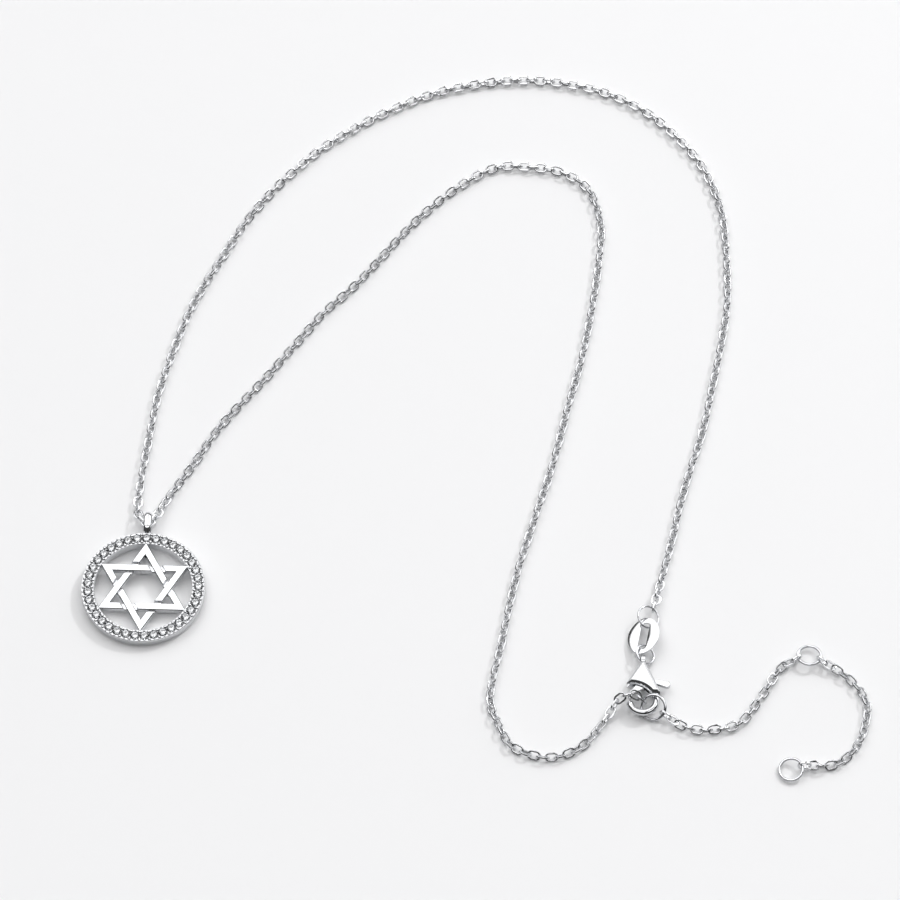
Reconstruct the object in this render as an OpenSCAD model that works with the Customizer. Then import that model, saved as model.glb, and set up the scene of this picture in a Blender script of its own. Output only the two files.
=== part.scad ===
// A round openwork pendant with a six-pointed star, on a cable chain with a lobster clasp and an extender.
// The necklace lies on a table. Millimetres, +Z up, origin under the middle of the whole at table height.

/* [Pendant] */
// Outer diameter of the pendant's ring
ring_d = 16.2; // [15:0.1:18]
// Radial width of the pendant's ring
ring_w = 1.7; // [1.6:0.05:2.2]
// Thickness of the pendant's ring
ring_t = 1.2; // [1.05:0.05:1.6]
// Width of one bar of the star
bar_w = 0.95; // [0.7:0.05:1.05]
// Thickness of the star's bars, which are flush with the ring's face
bar_t = 0.8; // [0.75:0.05:1]
// How far the star's points reach past the ring's inner wall
star_bite = 0.25; // [0.05:0.05:0.25]
// How deep a bar dips where it goes under another
dip_depth = 0.36; // [0.2:0.02:0.4]
// How far beside the upper bar the dip starts
dip_gap = 0.4; // [0.3:0.02:0.6]
// Degrees that the pendant's axis leans clockwise, seen from above
pendant_lean = 1.8; // [0:0.2:6]

/* [Stones] */
// Diameter of one round stone
stone_d = 1.08; // [0.95:0.01:1.15]
// Least distance between neighbouring stones' girdles
stone_gap = 0.15; // [0.12:0.01:0.3]
// Width of a stone's flat table
table_d = 0.62; // [0.5:0.01:0.7]
// Height of a stone above its girdle
crown_h = 0.17; // [0.12:0.01:0.22]
// Depth of a stone below its girdle
pavilion_h = 0.45; // [0.35:0.01:0.5]
// Clearance of a stone in its seat
seat_gap = 0.02; // [0.01:0.005:0.04]
// Diameter of one bead prong
bead_d = 0.48; // [0.3:0.02:0.5]
// Clearance between a bead prong and the stones beside it
bead_gap = 0.05; // [0.04:0.01:0.1]

/* [Bail] */
// Height of the bail's hole
bail_hole = 1.9; // [1.85:0.05:2.4]
// Length of the straight sides between the bail's two round ends
bail_straight = 0.95; // [0.6:0.05:1.4]
// Wall of the bail in the middle of the band
bail_wall = 0.34; // [0.28:0.02:0.45]
// Width of the bail's band
bail_w = 0.85; // [0.6:0.05:1.2]
// How far the bail's round end is sunk into the ring's edge
bail_bite = 0.25; // [0.2:0.05:0.3]

/* [Chain] */
// Outer length of one link
link_l = 1.84; // [1.82:0.01:1.88]
// Outer width of one link
link_w = 1.32; // [1.26:0.02:1.4]
// Diameter of the link's wire
wire_d = 0.26; // [0.23:0.01:0.27]
// Longest distance between the middles of two links that follow each other
link_pitch = 1.16; // [1.12:0.01:1.18]
// Clearance between a link and the jump ring that it hangs on
link_gap = 0.14; // [0.12:0.01:0.16]
// Spacing of the sections of the solid that stands for a long strand
strand_step = 4.8; // [4:0.2:6]

/* [Jump rings] */
// Outer diameter of the ring that the clasp hooks
closing_ring_d = 3.6; // [3.5:0.05:3.7]
// Outer diameter of the middle and end rings of the extender
ext_ring_d = 3.4; // [3.3:0.05:3.6]
// Wire of the closing, middle and end rings
ext_ring_wire = 0.4; // [0.36:0.02:0.42]
// Outer diameter of the ring between the chain and the tag
tag_ring_d = 3.3; // [3.2:0.05:3.5]
// Outer diameter of the ring between the tag and the clasp
clasp_ring_d = 2.9; // [2.8:0.05:3]
// Wire of the two rings on the tag
small_ring_wire = 0.32; // [0.28:0.01:0.34]
// Clearance between a jump ring and the wall of the hole that it pulls against
ring_play = 0.4; // [0.3:0.05:0.5]

/* [Tag] */
// Width of the oval tag
tag_w = 4.3; // [4:0.05:4.6]
// Length of the oval tag
tag_l = 5.6; // [5.5:0.05:6]
// Thickness of the oval tag
tag_t = 0.26; // [0.22:0.01:0.3]
// Width of the tag's slot
slot_w = 1.1; // [1:0.05:1.2]
// Length of the tag's slot
slot_l = 4; // [3.9:0.05:4.2]

/* [Clasp] */
// Thickness of the clasp's body
clasp_t = 1.7; // [1.6:0.05:1.9]
// Thickness of the clasp's round hook
hook_w = 0.9; // [0.8:0.05:0.95]
// Radius of the round opening inside the hook
mouth_r = 1.3; // [1.25:0.05:1.35]
// Thickness of the lever
lever_t = 0.52; // [0.46:0.02:0.56]
// Width of the lever's gate
gate_w = 0.5; // [0.4:0.02:0.56]
// Clearance between the lever and the walls beside it
lever_gap = 0.09; // [0.07:0.01:0.1]
// Radius of the lever's pin
pin_r = 0.25; // [0.2:0.01:0.28]
// Radial clearance of the pin in the lever
pin_gap = 0.05; // [0.03:0.01:0.07]
// Radius of the lever's boss round the pin
boss_r = 0.62; // [0.56:0.02:0.66]
// Radius of the hole in the clasp's eye
eye_hole_r = 0.48; // [0.44:0.01:0.5]
// Outer radius of the clasp's eye
eye_r = 0.8; // [0.76:0.02:0.84]
// Width of the clasp's eye
eye_w = 0.6; // [0.5:0.05:0.7]

/* [Hidden] */
$fn = 48;
little = 0.01;

// Pendant, worked out from its sizes
ring_r = ring_d / 2;
ring_in = ring_r - ring_w;
stone_circle = ring_r - ring_w / 2;
stone_n = floor(2 * PI * stone_circle / (stone_d + stone_gap));
stone_step = 360 / stone_n;
half_step = stone_circle * sin(stone_step / 2);
bead_out = sqrt(pow((stone_d + bead_d) / 2 + bead_gap, 2) - half_step * half_step);
star_r = ring_in + star_bite;
bar_y = star_r / 2 - bar_w / 2;
cross_x = bar_y * tan(30);
dip_run = bar_w / 2 + dip_gap;
bail_ri = bail_hole / 2;
bail_ro = bail_ri + bail_wall;
bail_near = ring_r - bail_bite + bail_ro;
bail_far = bail_near + bail_straight;
band_r = 0.76;
// The pendant rests on its ring's lower edge and on the bail, so its top end is raised
rest_reach = norm([ring_r + bail_near, ring_t / 2]);
pendant_tilt = asin(bail_ro / rest_reach) - asin((ring_t / 2) / rest_reach);
pendant_at = [-43.3, -28.1, ring_r * sin(pendant_tilt)];

// Rotations as matrices, for places that chains and rings share
function about_x(a) = [[1, 0, 0], [0, cos(a), -sin(a)], [0, sin(a), cos(a)]];
function about_y(a) = [[cos(a), 0, sin(a)], [0, 1, 0], [-sin(a), 0, cos(a)]];
function about_z(a) = [[cos(a), -sin(a), 0], [sin(a), cos(a), 0], [0, 0, 1]];
function placed(m, at) = [for (i = [0:2]) concat(m[i], [at[i]])];

pendant_turn = about_z(-pendant_lean) * about_x(pendant_tilt);
chain_z = link_w / 2;
// The chain runs through the far end of the bail's hole, clear of its wall and a little below its middle
bail_play = 0.35;
bail_sag = 0.15;
bail_hole_end = [0, bail_far + bail_ri, ring_t / 2];
bail_pass = pendant_turn * (bail_hole_end - [0, link_w / 2 + bail_play, 0]) + pendant_at - [0, 0, bail_sag];

// Clasp: its own origin is the middle of the hook's opening
clasp_at = [21.65, -45, 1.1];
clasp_lean = -1.6;
hook_r = mouth_r + hook_w / 2;
hook_out = mouth_r + hook_w;
tip_angle = 198;
// The hook ends in a ball a little thicker than its wire
tip_r = hook_w / 2 + 0.02;
root_angle = 400;
pivot = [-0.1, 2.35];
tip_at = hook_r * [cos(tip_angle), sin(tip_angle)];
gate_reach = norm(pivot - tip_at) - tip_r - lever_gap;
apex_y = 5.3;
apex_w = 0.7;
shoulder = [-1.85, 2.8];
hip = [2.2, 1.3];
// Metal between the body's end and the eye's hole
eye_sill = 0.08;
eye_y = apex_y + eye_hole_r + eye_sill;
// How far below the middle of the eye's hole its ring passes
eye_drop = 0.12;
clasp_turn = about_z(clasp_lean);
function on_clasp(p) = clasp_turn * p + clasp_at;

// Tag
tag_turn = about_z(-11) * about_x(-2) * about_y(-20);
slot_end = (slot_l - slot_w) / 2;
slot_reach = slot_l / 2 - small_ring_wire / 2 - ring_play;
oval_r1 = 1.5;
oval_a = tag_l / 2 - oval_r1;
oval_b = (oval_a * oval_a - pow(tag_w / 2 - oval_r1, 2)) / (2 * (tag_w / 2 - oval_r1));
oval_r2 = oval_b + tag_w / 2;

// Jump rings: mean radius of each
ext_ring_m = (ext_ring_d - ext_ring_wire) / 2;
closing_m = (closing_ring_d - ext_ring_wire) / 2;
tag_ring_m = (tag_ring_d - small_ring_wire) / 2;
clasp_ring_m = (clasp_ring_d - small_ring_wire) / 2;
function on_ring(at, turn, radius, a) = turn * (radius * [cos(a), sin(a), 0]) + at;
// Where each ring's two neighbours hang on it, in degrees round the ring
clasp_ring_low = 255;
clasp_ring_high = 112;
tag_ring_low = -103;
tag_ring_high = 64;
closing_ring_from = 180;
closing_ring_to = 0;
mid_ring_from = 192;
mid_ring_to = -25;
end_ring_from = 17;

// The ring that the clasp hooks passes over the hook at its upper right and under it at its lower left
closing_out = [1.36, -0.95];
closing_turn = clasp_turn * about_z(atan2(closing_out[1], closing_out[0])) * about_x(33);
closing_at = on_clasp([closing_out[0], closing_out[1], 0]);

// From the clasp's eye, a ring reaches through the bottom of the tag's slot, its left side over the tag
clasp_ring_turn = about_y(28) * about_x(1);
clasp_ring_at = on_ring(on_clasp([0, eye_y - eye_drop, 0]), clasp_ring_turn, -clasp_ring_m, clasp_ring_low);
slot_low = on_ring(clasp_ring_at, clasp_ring_turn, clasp_ring_m, clasp_ring_high);
tag_at = slot_low + tag_turn * [0, slot_reach, 0];

// From the top of the slot, a ring reaches to the chain, its left side over the tag and its right side under it
tag_ring_turn = about_y(26) * about_x(9);
slot_top = tag_at + tag_turn * [0, slot_reach, 0];
tag_ring_at = on_ring(slot_top, tag_ring_turn, -tag_ring_m, tag_ring_low);

mid_ring_at = [43.4, -38.1, 0.78];
mid_ring_turn = about_x(-8);
end_ring_at = [40.4, -54.8, 0.58];
end_ring_turn = about_y(-9) * about_x(6);

// Routes: round places on the table chosen by hand, with the ends worked out from what they join
hang_tag = on_ring(tag_ring_at, tag_ring_turn, tag_ring_m, tag_ring_high);
hang_closing_in = on_ring(closing_at, closing_turn, closing_m, closing_ring_from);
hang_closing_out = on_ring(closing_at, closing_turn, closing_m, closing_ring_to);
hang_mid_in = on_ring(mid_ring_at, mid_ring_turn, ext_ring_m, mid_ring_from);
hang_mid_out = on_ring(mid_ring_at, mid_ring_turn, ext_ring_m, mid_ring_to);
hang_end = on_ring(end_ring_at, end_ring_turn, ext_ring_m, end_ring_from);

outer_xy = [[-44, -17.5, 1.25], [-44.5, -15], [-44, -9.5], [-43, -2], [-42, 4], [-38.5, 16], [-34, 25.5],
            [-30.5, 32], [-26, 38], [-20, 44], [-12, 49.5], [-4.5, 53], [2, 54.5], [7, 55],
            [12.5, 54.5], [18, 53], [23.5, 50], [28.5, 45], [32, 39.5], [34, 33], [34.5, 27],
            [34.5, 18], [33.5, 11], [32, 3.5], [30.5, -3.5], [28, -12], [26, -20.5], [24.5, -26.5]];
inner_xy = [[-42, -17.2, 1.25], [-40.5, -14], [-37, -8], [-33.5, -2], [-28.5, 4.5], [-24.5, 10],
            [-20.5, 15.5], [-15.5, 21], [-11, 27], [-6.5, 32.5], [-1, 37.5], [3.5, 40], [8, 40],
            [12.5, 39], [16, 36], [17.5, 30], [17, 23], [16, 16], [14.5, 8], [12.5, 0],
            [10.5, -8.5], [8, -17], [5.5, -26], [3.5, -36], [2, -44], [3, -48], [5, -51.5],
            [9.5, -53], [13.5, -51.5], [16.5, -48]];
near_xy = [[27, -48.5], [30, -49], [34, -48], [37, -44], [39.5, -40]];
far_xy = [[48.5, -41.5], [50.5, -45], [50, -49], [48.5, -52], [46, -54]];

function flat(list) = [for (p = list) [p[0], p[1], len(p) > 2 ? p[2] : chain_z]];
function turned(list) = [for (i = [len(list) - 1:-1:0]) list[i]];
loop_route = concat([hang_tag], turned(flat(outer_xy)), [bail_pass], flat(inner_xy),
                    [on_clasp([-3.4, -0.5, 0.35]), on_clasp([-2.4, 0.1, 0.95]), on_clasp([-1.3, 0.4, 0.95]),
                     on_clasp([-0.2, 0.1, 0.3])],
                    [hang_closing_in]);
near_route = concat([hang_closing_out], flat(near_xy), [hang_mid_in]);
far_route = concat([hang_mid_out], flat(far_xy), [hang_end]);

// Smooth curve through a route's points, one cubic for each span
function before(r, i) = i > 0 ? r[i - 1] : 2 * r[0] - r[1];
function after(r, i) = i < len(r) - 2 ? r[i + 2] : 2 * r[i + 1] - r[i];
function cubic(a, b, c, d, t) =
    (2 * b + (c - a) * t + (2 * a - 5 * b + 4 * c - d) * t * t + (3 * b - a - 3 * c + d) * t * t * t) / 2;
function at_u(r, u) =
    let (i = min(floor(u), len(r) - 2))
    cubic(before(r, i), r[i], r[i + 1], after(r, i), u - i);
fine = 10;
function steps(r) = [for (k = [0:(len(r) - 1) * fine]) at_u(r, k / fine)];
function sums(p, i = 1, s = 0, out = [0]) =
    i >= len(p) ? out : sums(p, i + 1, s + norm(p[i] - p[i - 1]), concat(out, [s + norm(p[i] - p[i - 1])]));
function lengths(r) =
    let (s = sums(steps(r)))
    [for (k = [0:len(s) - 1]) [s[k], k / fine]];
function whole(table) = table[len(table) - 1][0];
function unit(v) = v / norm(v);
function at_s(r, table, s) = at_u(r, lookup(s, table));
function way(r, table, s) =
    unit(at_s(r, table, min(s + 0.3, whole(table))) - at_s(r, table, max(s - 0.3, 0)));

loop_table = lengths(loop_route);
bail_s = sums(steps(loop_route))[(len(outer_xy) + 1) * fine];
near_table = lengths(near_route);
far_table = lengths(far_route);

// A link's centre lies this far from the middle of the ring wire that it hangs on
function hang(ring_wire) = link_l / 2 - wire_d - ring_wire / 2 - link_gap;

module torus(ring_outer, ring_wire) {
    rotate_extrude() translate([(ring_outer - ring_wire) / 2, 0]) circle(d = ring_wire);
}

// One link as a closed tube of six-sided wire, two round ends with straight sides between, long along X, flat in XY
link_sides = 6;
link_parts = 12;
function link_point(i, j) =
    let (a = 360 * (i + 0.5) / link_parts,
         b = 360 * (j + 0.5) / link_sides,
         end_middle = [sign(cos(a)) * (link_l - link_w) / 2, 0, 0],
         out = [cos(a), sin(a), 0])
    end_middle + (link_w - wire_d) / 2 * out + wire_d / 2 * (cos(b) * out + [0, 0, sin(b)]);
link_points = [for (i = [0:link_parts - 1]) for (j = [0:link_sides - 1]) link_point(i, j)];
link_faces = [for (i = [0:link_parts - 1]) for (j = [0:link_sides - 1])
    let (i2 = (i + 1) % link_parts, j2 = (j + 1) % link_sides)
    [i * link_sides + j, i * link_sides + j2, i2 * link_sides + j2, i2 * link_sides + j]];

// A link at a place, along a direction, rolled about it
module link(at, dir, roll) {
    side = unit(cross([0, 0, 1], dir));
    up = cross(dir, side);
    y = cos(roll) * side + sin(roll) * up;
    z = cross(dir, y);
    m = [[dir[0], y[0], z[0]], [dir[1], y[1], z[1]], [dir[2], y[2], z[2]]];
    polyhedron(points = [for (p = link_points) m * p + at], faces = link_faces);
}

// How far a chain's links roll: every second one on edge, each leaning a little its own way
function roll_of(i) = 90 * ((i + 1) % 2) + 6 * sin(131 * i);

// Links along a route from one length to another, an odd number, so that both ends are on edge
flat_drop = 0.05;
module link_run(r, table, from, to) {
    spans = 2 * ceil((to - from) / link_pitch / 2 - little);
    step = (to - from) / spans;
    for (i = [0:spans]) {
        s = from + i * step;
        on_edge = (i + 1) % 2;
        drop = on_edge == 1 ? 0 : flat_drop;
        link(at_s(r, table, s) - [0, 0, drop], way(r, table, s), roll_of(i));
    }
}

// A plain tube that stands for a strand, from one length along its route to another
strand_sides = 8;
module strand(r, table, from, to) {
    count = ceil((to - from) / strand_step);
    points = [for (k = [0:count]) for (j = [0:strand_sides - 1])
        let (s = from + (to - from) * k / count,
             dir = way(r, table, s),
             side = unit(cross([0, 0, 1], dir)),
             up = cross(dir, side),
             a = 360 * (j + 0.5) / strand_sides)
        at_s(r, table, s) + link_w / 2 * (cos(a) * side + sin(a) * up)];
    last = count * strand_sides;
    walls = [for (k = [0:count - 1]) for (j = [0:strand_sides - 1])
        let (j2 = (j + 1) % strand_sides)
        [k * strand_sides + j, (k + 1) * strand_sides + j,
         (k + 1) * strand_sides + j2, k * strand_sides + j2]];
    ends = [[for (j = [0:strand_sides - 1]) j],
            [for (j = [0:strand_sides - 1]) last + strand_sides - 1 - j]];
    polyhedron(points = points, faces = concat(ends, walls));
}

module in_pendant() {
    multmatrix(placed(pendant_turn, pendant_at)) children();
}

// One bar of the star, along X above the middle, dipped where it passes under the next bar.
// Its slanting ends stop a little inside the bars that it meets at the star's points, and the dip's walls slope
end_in = 0.05;
dip_slope = 0.12;
module star_bar() {
    half = star_r * cos(30) - end_in;
    short = half - bar_w * tan(30);
    difference() {
        translate([0, 0, ring_t - bar_t]) linear_extrude(bar_t)
            polygon([[-half, star_r / 2], [half, star_r / 2],
                     [short, star_r / 2 - bar_w], [-short, star_r / 2 - bar_w]]);
        translate([cross_x, bar_y, ring_t]) rotate([0, 0, -60]) rotate([90, 0, 90])
            linear_extrude(4 * bar_w, center = true)
                polygon([[-dip_run, 0], [dip_slope - dip_run, -dip_depth], [dip_run - dip_slope, -dip_depth],
                         [dip_run, 0], [dip_run, dip_depth], [-dip_run, dip_depth]]);
    }
}

module star() {
    for (k = [0:5]) rotate([0, 0, 60 * k]) star_bar();
}

// A stone's seat: a straight wall for the girdle over a cone for the pavilion
seat_wall = 0.05;
seat_foot = 0.1;
module seat() {
    seat_r = stone_d / 2 + seat_gap;
    translate([0, 0, -seat_wall]) cylinder(r = seat_r, h = seat_wall + bead_d);
    translate([0, 0, -seat_wall - pavilion_h]) cylinder(r1 = seat_foot, r2 = seat_r, h = pavilion_h);
}

module set_ring() {
    difference() {
        rotate_extrude() translate([ring_in, 0]) square([ring_w, ring_t]);
        for (k = [0:stone_n - 1]) rotate([0, 0, 90 + k * stone_step])
            translate([stone_circle, 0, ring_t]) seat();
    }
    for (k = [0:stone_n - 1]) rotate([0, 0, 90 + (k + 0.5) * stone_step])
        for (out = [-bead_out, bead_out])
            translate([stone_circle + out, 0, ring_t - bead_gap]) sphere(d = bead_d);
}

// The bail's band in section: flat inside, gently domed outside
module bail_section() {
    intersection() {
        translate([bail_ri, -bail_w / 2]) square([bail_wall, bail_w]);
        translate([bail_ro - band_r, 0]) circle(r = band_r);
    }
}

module bail() {
    translate([0, bail_far, ring_t / 2]) bail_arc();
    translate([0, bail_near, ring_t / 2]) rotate([0, 0, 180]) bail_arc();
    for (s = [0, 1]) translate([0, bail_near, ring_t / 2]) mirror([0, 0, s])
        rotate([0, -90, -90]) linear_extrude(bail_straight) bail_section();
}

// Half a turn of the band about the X axis, towards +Y
module bail_arc() {
    rotate([0, 90, 0]) rotate_extrude(angle = 180) bail_section();
}

module pendant_frame() {
    color("silver") in_pendant() {
        set_ring();
        star();
        bail();
    }
}

// One round stone: eight-sided table, sixteen-sided girdle, pointed below
stone_points = concat(
    [for (k = [0:7]) [table_d / 2 * cos(45 * k), table_d / 2 * sin(45 * k), crown_h]],
    [for (k = [0:15]) [stone_d / 2 * cos(22.5 * k), stone_d / 2 * sin(22.5 * k), 0]],
    [[0, 0, -pavilion_h]]);
stone_faces = concat(
    [[7, 6, 5, 4, 3, 2, 1, 0]],
    [for (k = [0:7]) [k, 8 + (2 * k + 1) % 16, 8 + 2 * k]],
    [for (k = [0:7]) [k, (k + 1) % 8, 8 + (2 * k + 1) % 16]],
    [for (k = [0:7]) [(k + 1) % 8, 8 + (2 * k + 2) % 16, 8 + 2 * k + 1]],
    [for (k = [0:15]) [8 + k, 8 + (k + 1) % 16, 24]]);

module pave_stones() {
    color("white") for (k = [0:stone_n - 1]) {
        m = pendant_turn * about_z(90 + k * stone_step);
        polyhedron(points = [for (p = stone_points) m * (p + [stone_circle, 0, ring_t]) + pendant_at],
                   faces = stone_faces);
    }
}

// Each strand: a tube between the real links at its two ends
end_gap = 0.3;
tube_end = link_l / 2 + end_gap;
// The chain turns sharply in the bail and over the hook's tip, so its links lie closer there
bail_step = link_pitch - 0.24;
hook_step = link_pitch - 0.08;
module chain_outer() {
    first = hang(small_ring_wire);
    last = bail_s - bail_step;
    color("silver") {
        loop_link(first, 90);
        strand(loop_route, loop_table, first + tube_end, last - tube_end);
        loop_link(last, 90);
    }
}

// Rolls of the links that pass over the hook's tip, from the ring outwards
hook_rolls = [-50, 25, -60, 15, 80];
module chain_inner() {
    first = bail_s + bail_step;
    last = whole(loop_table) - hang(ext_ring_wire);
    color("silver") {
        loop_link(bail_s, 0);
        loop_link(first, 90);
        strand(loop_route, loop_table, first + tube_end, last - 4 * hook_step - tube_end);
        for (i = [0:4]) loop_link(last - i * hook_step, hook_rolls[i]);
    }
}

module loop_link(s, roll) {
    link(at_s(loop_route, loop_table, s), way(loop_route, loop_table, s), roll);
}

module tag_ring() {
    color("silver") multmatrix(placed(tag_ring_turn, tag_ring_at)) torus(tag_ring_d, small_ring_wire);
}

// The tag's oval: two round ends joined by two flatter arcs
module oval() {
    tangent_y = oval_a + oval_r1 * oval_a / norm([oval_a, oval_b]);
    for (s = [-1, 1]) translate([0, s * oval_a]) circle(r = oval_r1);
    intersection() {
        translate([oval_b, 0]) circle(r = oval_r2);
        translate([-oval_b, 0]) circle(r = oval_r2);
        square([2 * tag_w, 2 * tangent_y], center = true);
    }
}

module quality_tag() {
    color("silver") multmatrix(placed(tag_turn, tag_at)) translate([0, 0, -tag_t / 2])
        linear_extrude(tag_t) difference() {
            oval();
            square([slot_w, 2 * slot_end], center = true);
            for (s = [-1, 1]) translate([0, s * slot_end]) circle(d = slot_w);
        }
}

module clasp_ring() {
    color("silver") multmatrix(placed(clasp_ring_turn, clasp_ring_at)) torus(clasp_ring_d, small_ring_wire);
}

// The round hook, from inside the body's right side round to its tip. The body laps over it a little
hook_lap = 0.05;
module hook() {
    rotate_extrude(start = tip_angle, angle = root_angle - tip_angle)
        translate([hook_r, 0]) circle(d = hook_w);
    translate([tip_at[0], tip_at[1], 0]) sphere(r = tip_r);
}

// The body seen from above: it narrows to the eye, and its right side runs on into the hook
module clasp_plan() {
    polygon([[-apex_w / 2, apex_y], [apex_w / 2, apex_y], hip, [hook_out, 0.3], [0, 0],
             [-hook_out, 1.45], [-hook_out, 2.1], shoulder]);
}

// A slanting cut along the edge from a to b, on the body's upper face, its middle just outside the edge
edge_cut = 0.22;
module bevel(a, b) {
    run = b - a;
    start = a + little * sign(run[0]) * unit([-run[1], run[0]]);
    translate([start[0], start[1], clasp_t / 2]) rotate([0, 0, atan2(run[1], run[0])])
        rotate([45, 0, 0]) cube([4 * norm(run), 2 * edge_cut, 2 * edge_cut], center = true);
}

// What is cut from each face: bevelled edges, a slope down to the opening and another down to the hook
face_mid = [-1.5, -0.9];
face_r = 3.55;
slope_h = 0.5;
hook_slope = 34;
hook_slope_x = 0.6;
module face_cuts() {
    bevel([-apex_w / 2, apex_y], shoulder);
    bevel([apex_w / 2, apex_y], hip);
    translate([face_mid[0], face_mid[1], clasp_t / 2 - slope_h])
        cylinder(r1 = face_r - slope_h, r2 = face_r + little, h = slope_h + little);
    translate([hook_slope_x, hip[1], clasp_t / 2]) rotate([hook_slope, 0, 0])
        translate([0, -2 * hook_r, 0]) cube([2 * hook_r, 2 * hook_r, clasp_t]);
}

// The room that the lever needs, in the middle of the body
module lever_slot() {
    slot_h = lever_t + 2 * lever_gap;
    translate([0, 0, -slot_h / 2]) linear_extrude(slot_h) polygon([
        [-3, 0], [-3, 3.6], [-0.4, 3.9], [1, 4.1], [3.5, 4.3], [3.5, 1.75], [0.9, 1.5], [0.9, 0], [0, 0]]);
}

module clasp_body() {
    color("silver") multmatrix(placed(clasp_turn, clasp_at)) {
        difference() {
            translate([0, 0, -clasp_t / 2]) linear_extrude(clasp_t) clasp_plan();
            cylinder(r = mouth_r - hook_lap, h = 2 * clasp_t, center = true);
            face_cuts();
            mirror([0, 0, 1]) face_cuts();
            lever_slot();
        }
        hook();
        translate([pivot[0], pivot[1], 0]) cylinder(r = pin_r, h = clasp_t - 2 * edge_cut, center = true);
        translate([0, eye_y, 0]) rotate([0, 90, 0]) difference() {
            cylinder(r = eye_r, h = eye_w, center = true);
            cylinder(r = eye_hole_r, h = 2 * eye_w, center = true);
        }
    }
}

// The lever lies in the body's slot: gate at the left, boss on the pin, thumb tab at the right
gate_from = 116;
gate_turn = 76;
gate_root = [[-1.15, 0.95], [-1.75, 1.1]];
arm_w = 0.66;
tab_root = [1.7, 2.75];
tab_at = [3.1, 2.4];
tab_r = 0.46;
module gate() {
    intersection() {
        rotate_extrude(start = gate_from, angle = gate_turn)
            translate([hook_r - gate_w / 2, -lever_t / 2]) square([gate_w, lever_t]);
        translate([pivot[0], pivot[1], 0]) cylinder(r = gate_reach, h = 2 * lever_t, center = true);
    }
}

module lever_disc(at, r) {
    translate([at[0], at[1], -lever_t / 2]) cylinder(r = r, h = lever_t);
}

module lever_plate(points) {
    translate([0, 0, -lever_t / 2]) linear_extrude(lever_t) polygon(points);
}

module clasp_lever() {
    half = [0, arm_w / 2];
    color("silver") multmatrix(placed(clasp_turn, clasp_at)) difference() {
        union() {
            gate();
            lever_disc(pivot, boss_r);
            lever_plate([pivot + [-0.2, boss_r - little], pivot + [0.3, little - boss_r],
                         gate_root[0], gate_root[1]]);
            lever_plate([pivot + half, tab_root + half, tab_at + [0.1, tab_r - little],
                         tab_at + [-0.1, little - tab_r], tab_root - half, pivot - half]);
            lever_disc(tab_at, tab_r);
        }
        translate([pivot[0], pivot[1], 0]) cylinder(r = pin_r + pin_gap, h = 2 * lever_t, center = true);
    }
}

module closing_ring() {
    color("silver") multmatrix(placed(closing_turn, closing_at)) torus(closing_ring_d, ext_ring_wire);
}

module extender_chain_near() {
    ends = hang(ext_ring_wire);
    color("silver") link_run(near_route, near_table, ends, whole(near_table) - ends);
}

module extender_mid_ring() {
    color("silver") multmatrix(placed(mid_ring_turn, mid_ring_at)) torus(ext_ring_d, ext_ring_wire);
}

module extender_chain_far() {
    ends = hang(ext_ring_wire);
    color("silver") link_run(far_route, far_table, ends, whole(far_table) - ends);
}

module extender_end_ring() {
    color("silver") multmatrix(placed(end_ring_turn, end_ring_at)) torus(ext_ring_d, ext_ring_wire);
}

pendant_frame();
pave_stones();
chain_outer();
chain_inner();
tag_ring();
quality_tag();
clasp_ring();
clasp_body();
clasp_lever();
closing_ring();
extender_chain_near();
extender_mid_ring();
extender_chain_far();
extender_end_ring();
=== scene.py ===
import math
import bpy
from mathutils import Matrix, Vector


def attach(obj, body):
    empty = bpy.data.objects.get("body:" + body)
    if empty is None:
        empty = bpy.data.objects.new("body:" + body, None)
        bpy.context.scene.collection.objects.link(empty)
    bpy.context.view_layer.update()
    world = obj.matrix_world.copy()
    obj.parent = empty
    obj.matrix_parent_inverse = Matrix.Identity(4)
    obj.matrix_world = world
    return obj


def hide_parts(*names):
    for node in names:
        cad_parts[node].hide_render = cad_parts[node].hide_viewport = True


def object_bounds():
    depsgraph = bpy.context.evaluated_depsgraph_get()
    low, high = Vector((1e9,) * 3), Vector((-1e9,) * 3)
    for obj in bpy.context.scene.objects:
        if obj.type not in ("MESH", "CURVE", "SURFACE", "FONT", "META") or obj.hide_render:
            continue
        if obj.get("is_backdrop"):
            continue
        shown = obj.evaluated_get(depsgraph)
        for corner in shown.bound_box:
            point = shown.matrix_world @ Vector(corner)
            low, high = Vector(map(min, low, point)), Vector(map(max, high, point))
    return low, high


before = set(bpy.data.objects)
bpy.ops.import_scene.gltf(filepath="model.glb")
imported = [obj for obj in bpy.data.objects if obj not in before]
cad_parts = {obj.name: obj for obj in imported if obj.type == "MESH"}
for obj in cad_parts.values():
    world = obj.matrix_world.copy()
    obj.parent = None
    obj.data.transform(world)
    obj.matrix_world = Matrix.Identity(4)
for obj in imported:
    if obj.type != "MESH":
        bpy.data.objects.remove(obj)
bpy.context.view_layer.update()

mm = 0.001
scene = bpy.context.scene
view_rise = 57.5
view_target = Vector((-3.2, -6.0, 0.0)) * mm
view_distance = 650 * mm
view_lens = bpy.data.cameras.new("view")
view_lens.sensor_width = 36
view_lens.lens = 195
view_lens.clip_start = 0.01
view_lens.clip_end = 10
camera = bpy.data.objects.new("view", view_lens)
scene.collection.objects.link(camera)
view_back = Vector((0, -math.cos(math.radians(view_rise)), math.sin(math.radians(view_rise))))
camera.location = view_target + view_distance * view_back
camera.rotation_euler = view_back.to_track_quat("Z", "Y").to_euler()
scene.camera = camera
scene.view_settings.view_transform = "Standard"
scene.cycles.use_denoising = True


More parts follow.
